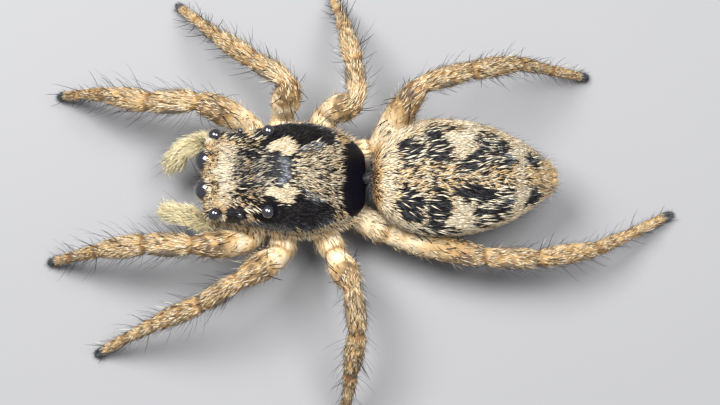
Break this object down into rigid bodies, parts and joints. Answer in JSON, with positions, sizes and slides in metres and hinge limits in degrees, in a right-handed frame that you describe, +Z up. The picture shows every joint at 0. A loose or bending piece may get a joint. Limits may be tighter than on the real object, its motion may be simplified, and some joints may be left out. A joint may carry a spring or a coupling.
{
  "type": "jumping spider",
  "caption": "Zebra-patterned jumping spider standing on eight legs, egg-shaped abdomen, flat-fronted head with large front eyes.",
  "frame": {"origin": "middle of the footprint, on the floor", "axes": "-X ahead of the face, +Y the spider's right, +Z up"},
  "size_m": [0.0086, 0.0062, 0.0018],
  "materials": {
    "carapace": "satin, black ground under lying cream and tan scales",
    "abdomen": "matt, cream and tan scales with black patches",
    "eyes": "polished, almost black",
    "jaws": "satin dark brown",
    "underside": "satin brown with pale hairs",
    "waist": "satin brown",
    "spinnerets": "matt golden brown",
    "palps": "long lemon-yellow hair",
    "legs": "satin golden orange, lying cream scales and dark bristles"
  },
  "bodies": {
    "root": {"carapace": "carapace", "abdomen": "abdomen", "eye_front_middle_right": "eyes", "eye_front_middle_left": "eyes", "eye_front_side_right": "eyes", "eye_front_side_left": "eyes", "eye_small_right": "eyes", "eye_small_left": "eyes", "eye_rear_right": "eyes", "eye_rear_left": "eyes", "chelicera_right": "jaws", "chelicera_left": "jaws", "sternum": "underside", "mouthparts": "underside", "pedicel": "waist", "spinnerets": "spinnerets", "palp_right_limb": "palps", "palp_right_tarsus": "palps", "palp_left_limb": "palps", "palp_left_tarsus": "palps", "leg_1_right_coxa": "legs", "leg_1_right_femur": "legs", "leg_1_right_patella": "legs", "leg_1_right_tibia": "legs", "leg_1_right_foot": "legs", "leg_1_left_coxa": "legs", "leg_1_left_femur": "legs", "leg_1_left_patella": "legs", "leg_1_left_tibia": "legs", "leg_1_left_foot": "legs", "leg_2_right_coxa": "legs", "leg_2_right_femur": "legs", "leg_2_right_patella": "legs", "leg_2_right_tibia": "legs", "leg_2_right_foot": "legs", "leg_2_left_coxa": "legs", "leg_2_left_femur": "legs", "leg_2_left_patella": "legs", "leg_2_left_tibia": "legs", "leg_2_left_foot": "legs", "leg_3_right_coxa": "legs", "leg_3_right_femur": "legs", "leg_3_right_patella": "legs", "leg_3_right_tibia": "legs", "leg_3_right_foot": "legs", "leg_3_left_coxa": "legs", "leg_3_left_femur": "legs", "leg_3_left_patella": "legs", "leg_3_left_tibia": "legs", "leg_3_left_foot": "legs", "leg_4_right_coxa": "legs", "leg_4_right_femur": "legs", "leg_4_right_patella": "legs", "leg_4_right_tibia": "legs", "leg_4_right_foot": "legs", "leg_4_left_coxa": "legs", "leg_4_left_femur": "legs", "leg_4_left_patella": "legs", "leg_4_left_tibia": "legs", "leg_4_left_foot": "legs"}
  },
  "joints": []
}
